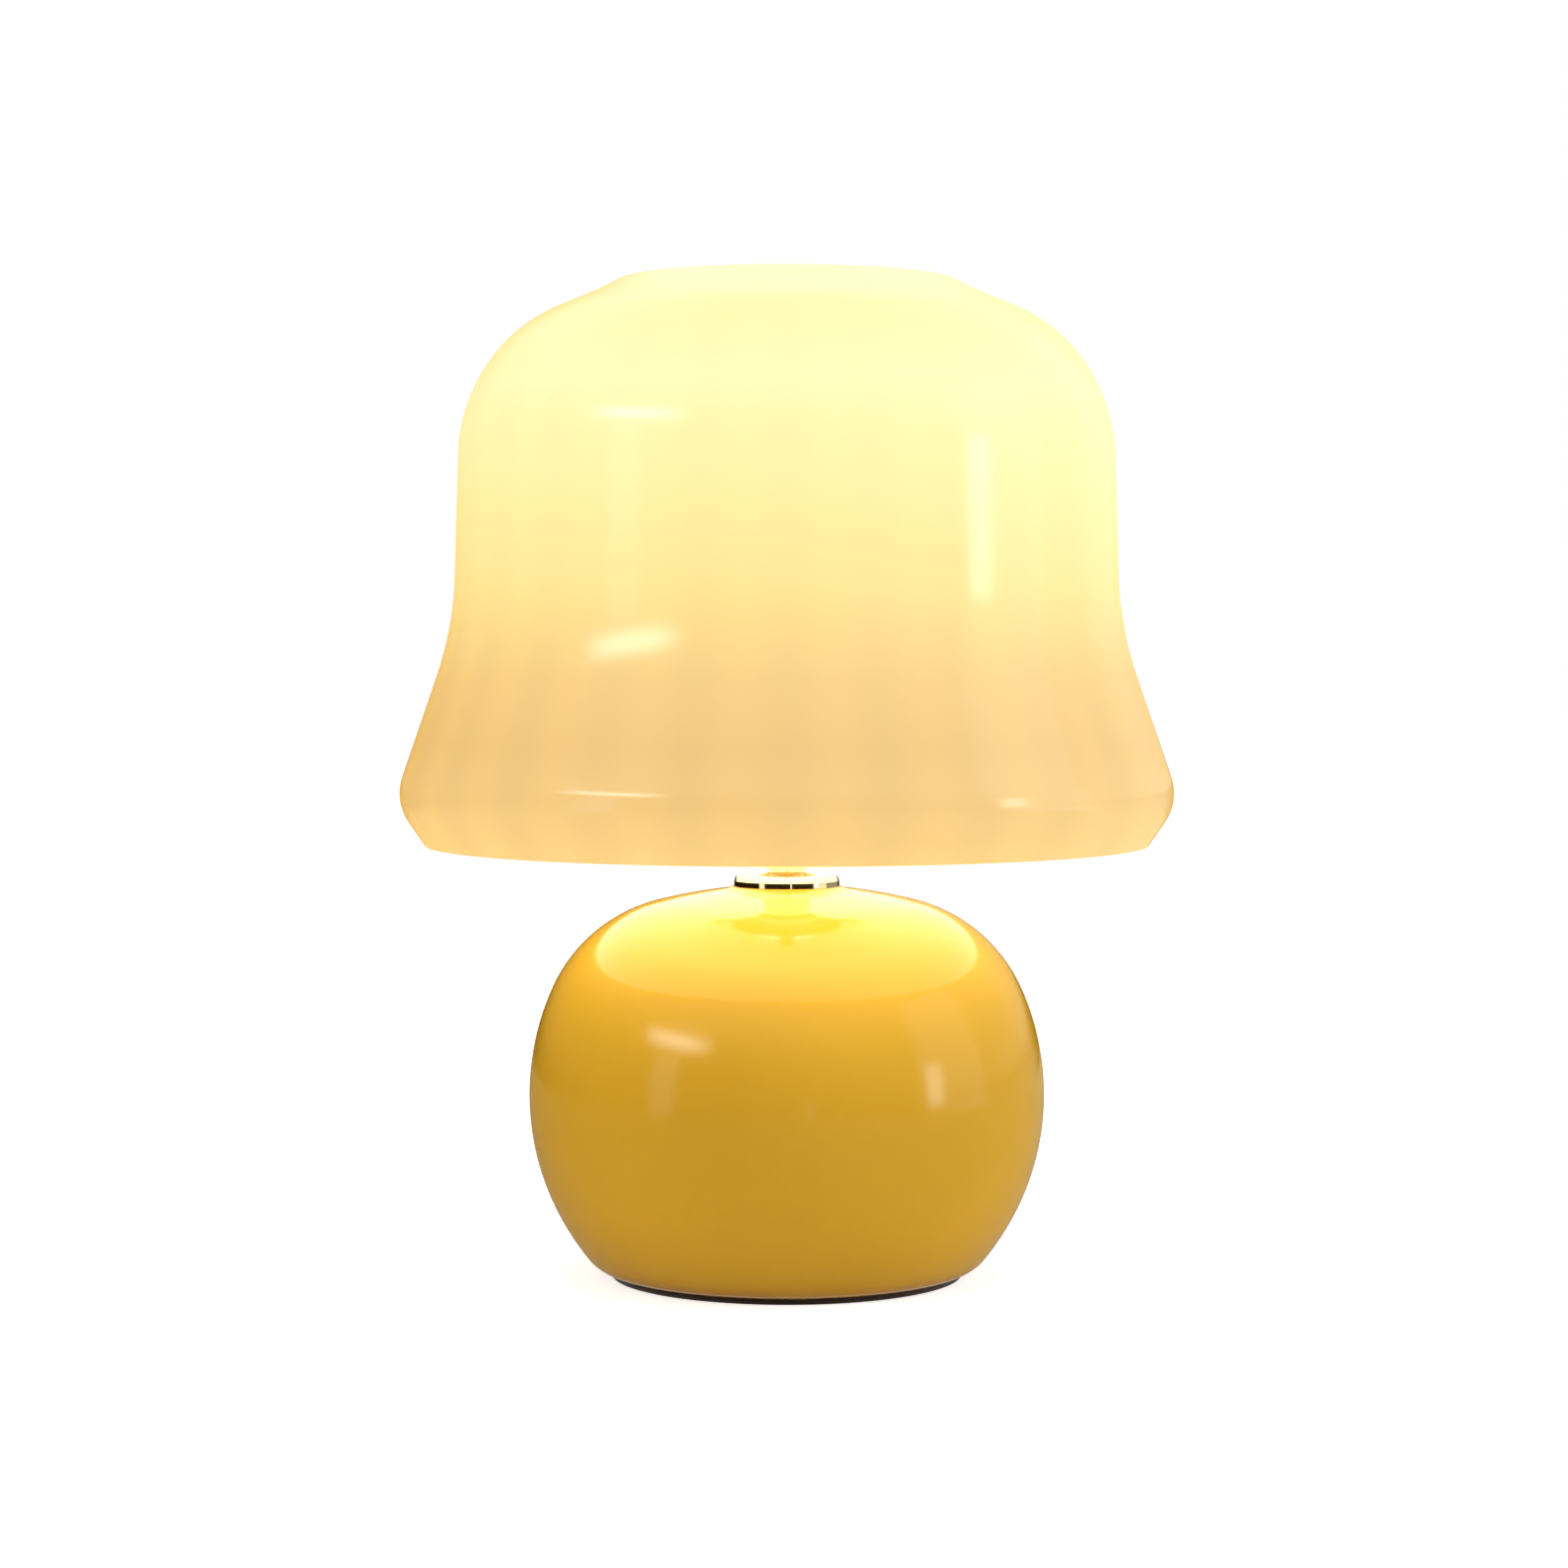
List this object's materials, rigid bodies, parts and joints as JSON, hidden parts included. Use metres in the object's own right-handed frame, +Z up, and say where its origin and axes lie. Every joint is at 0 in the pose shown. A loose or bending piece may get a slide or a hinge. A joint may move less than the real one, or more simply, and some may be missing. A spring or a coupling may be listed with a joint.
{
  "type": "mushroom table lamp",
  "caption": "Small table lamp with a round glazed ceramic base, a brass neck cap, and a lit bell-shaped opal glass shade that lifts off its carrier.",
  "frame": {"origin": "on the lamp's axis, on the underside of the felt pad that it stands on", "axes": "+Z up along the lamp's axis, -Y towards the viewer in the picture, +Y towards the mains inlet"},
  "size_m": [0.2358, 0.2358, 0.3042],
  "materials": {
    "glaze": "glossy yellow-ochre glaze",
    "opal_glass": "opal cream glass with soft inner ribs, lit from inside",
    "polished_brass": "polished and lacquered",
    "carrier_steel": "satin gold enamel",
    "zinc_steel": "bright zinc plate",
    "felt": "dark brown felt",
    "fibreboard": "pressed fibreboard",
    "black_nylon": "fine grained nylon",
    "white_nylon": "natural nylon",
    "cream_phenolic": "moulded thermoset, glossy",
    "steatite": "unglazed steatite",
    "spring_bronze": "phosphor bronze strip",
    "brown_insulation": "brown lead insulation",
    "blue_insulation": "blue lead insulation",
    "silicone": "translucent silicone",
    "nickel": "nickel plate",
    "tin": "tinned contact",
    "black_glass": "black glass insulator",
    "bulb_white": "white bulb housing",
    "bulb_opal": "opal diffuser, lit",
    "board_metal": "white lacquered LED board",
    "led_yellow": "phosphor",
    "board_green": "solder resist",
    "capacitor_black": "capacitor sleeve"
  },
  "bodies": {
    "stand": {"felt_pad": "felt", "bottom_cover": "fibreboard", "base_body": "glaze", "inlet_bush": "black_nylon", "inlet_nut": "black_nylon", "threaded_pipe": "zinc_steel", "clamp_plate": "zinc_steel", "bottom_washer": "zinc_steel", "bottom_nut": "zinc_steel", "terminal_block": "white_nylon", "clamp_screws": "polished_brass", "block_screw": "zinc_steel", "lead_brown": "brown_insulation", "lead_blue": "blue_insulation", "neck_cap": "polished_brass", "neck_washer": "zinc_steel", "neck_tube": "polished_brass", "holder_dome": "cream_phenolic", "grub_screw": "zinc_steel", "pipe_nut": "zinc_steel", "holder_core": "steatite", "terminal_screws": "polished_brass", "centre_contact": "spring_bronze", "holder_sleeve": "cream_phenolic", "thread_shell": "spring_bronze", "lower_shade_ring": "cream_phenolic", "upper_shade_ring": "cream_phenolic", "carrier_hub": "carrier_steel", "carrier_arm_1": "carrier_steel", "carrier_arm_2": "carrier_steel", "carrier_arm_3": "carrier_steel", "arm_rivets": "carrier_steel", "carrier_ring": "carrier_steel", "carrier_pad_1": "silicone", "carrier_pad_2": "silicone", "carrier_pad_3": "silicone"},
    "bulb_foot": {"bulb_contact": "tin"},
    "bulb": {"bulb_insulator": "black_glass", "bulb_cap": "nickel", "bulb_housing": "bulb_white", "bulb_globe": "bulb_opal", "led_board": "board_metal", "led_chips": "led_yellow", "driver_board": "board_green", "driver_capacitor": "capacitor_black"},
    "shade": {"shade_glass": "opal_glass"}
  },
  "joints": [
    {"name": "bulb_rise", "type": "slide", "parent": "stand", "child": "bulb_foot", "axis": [0, 0, 1], "range_m": [0, 0.0113]},
    {"name": "bulb_turn", "type": "hinge", "parent": "bulb_foot", "child": "bulb", "pos_m": [0, 0, 0.176], "axis": [0, 0, 1], "range_deg": [0, 1440]},
    {"name": "shade_lift", "type": "slide", "parent": "stand", "child": "shade", "axis": [0, 0, 1], "range_m": [0, 0.18]}
  ],
  "couplings": [
    {"joint": "bulb_rise", "follows": "bulb_turn", "m_per_rad": 0.00044913}
  ]
}
